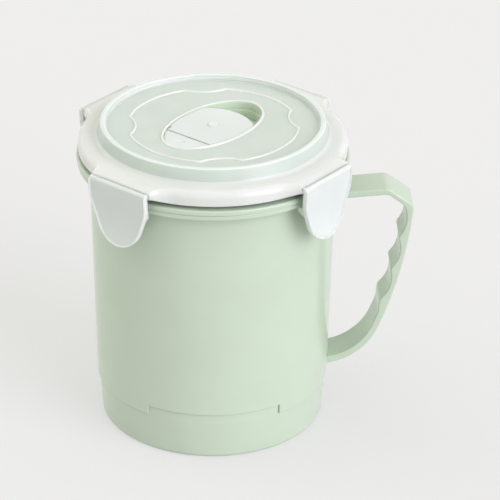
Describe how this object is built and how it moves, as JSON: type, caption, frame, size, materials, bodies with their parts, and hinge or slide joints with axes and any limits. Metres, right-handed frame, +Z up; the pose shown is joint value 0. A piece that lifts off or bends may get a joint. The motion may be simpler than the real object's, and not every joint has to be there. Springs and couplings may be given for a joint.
{
  "type": "microwave steamer mug",
  "caption": "Soup mug for the microwave with a strap handle and a translucent snap lid with hinged side clips and a flap over its steam vent.",
  "frame": {"origin": "centre of the ring that the mug stands on", "axes": "+Z up along the mug's axis, +X out through the handle"},
  "size_m": [0.1407, 0.1136, 0.1348],
  "materials": {
    "green_polypropylene": "pale sage green, satin moulded",
    "natural_polypropylene": "undyed, translucent, satin moulded",
    "white_silicone": "white, matt"
  },
  "bodies": {
    "mug": {"inner_cup": "green_polypropylene", "outer_jacket": "green_polypropylene"},
    "lid": {"lid": "natural_polypropylene", "seal_ring": "white_silicone", "vent_anchor": "natural_polypropylene"},
    "clip_front_left": {"clip_front_left": "natural_polypropylene"},
    "clip_front_right": {"clip_front_right": "natural_polypropylene"},
    "clip_back_left": {"clip_back_left": "natural_polypropylene"},
    "clip_back_right": {"clip_back_right": "natural_polypropylene"},
    "vent_flap": {"vent_flap": "natural_polypropylene", "vent_plug": "white_silicone"}
  },
  "joints": [
    {"name": "lid_lift", "type": "slide", "parent": "mug", "child": "lid", "axis": [0, 0, 1], "range_m": [0, 0.12]},
    {"name": "clip_front_left_hinge", "type": "hinge", "parent": "lid", "child": "clip_front_left", "pos_m": [-0.03856, -0.04531, 0.1261], "axis": [-0.7615, 0.6481, 0], "range_deg": [0, 120]},
    {"name": "clip_front_right_hinge", "type": "hinge", "parent": "lid", "child": "clip_front_right", "pos_m": [0.04531, -0.03856, 0.1261], "axis": [-0.6481, -0.7615, 0], "range_deg": [0, 120]},
    {"name": "clip_back_left_hinge", "type": "hinge", "parent": "lid", "child": "clip_back_left", "pos_m": [-0.04531, 0.03856, 0.1261], "axis": [0.6481, 0.7615, 0], "range_deg": [0, 120]},
    {"name": "clip_back_right_hinge", "type": "hinge", "parent": "lid", "child": "clip_back_right", "pos_m": [0.03856, 0.04531, 0.1261], "axis": [0.7615, -0.6481, 0], "range_deg": [0, 120]},
    {"name": "vent_flap_hinge", "type": "hinge", "parent": "lid", "child": "vent_flap", "pos_m": [-0.00933, -0.01097, 0.13165], "axis": [0.7615, -0.6481, 0], "range_deg": [0, 100]}
  ]
}
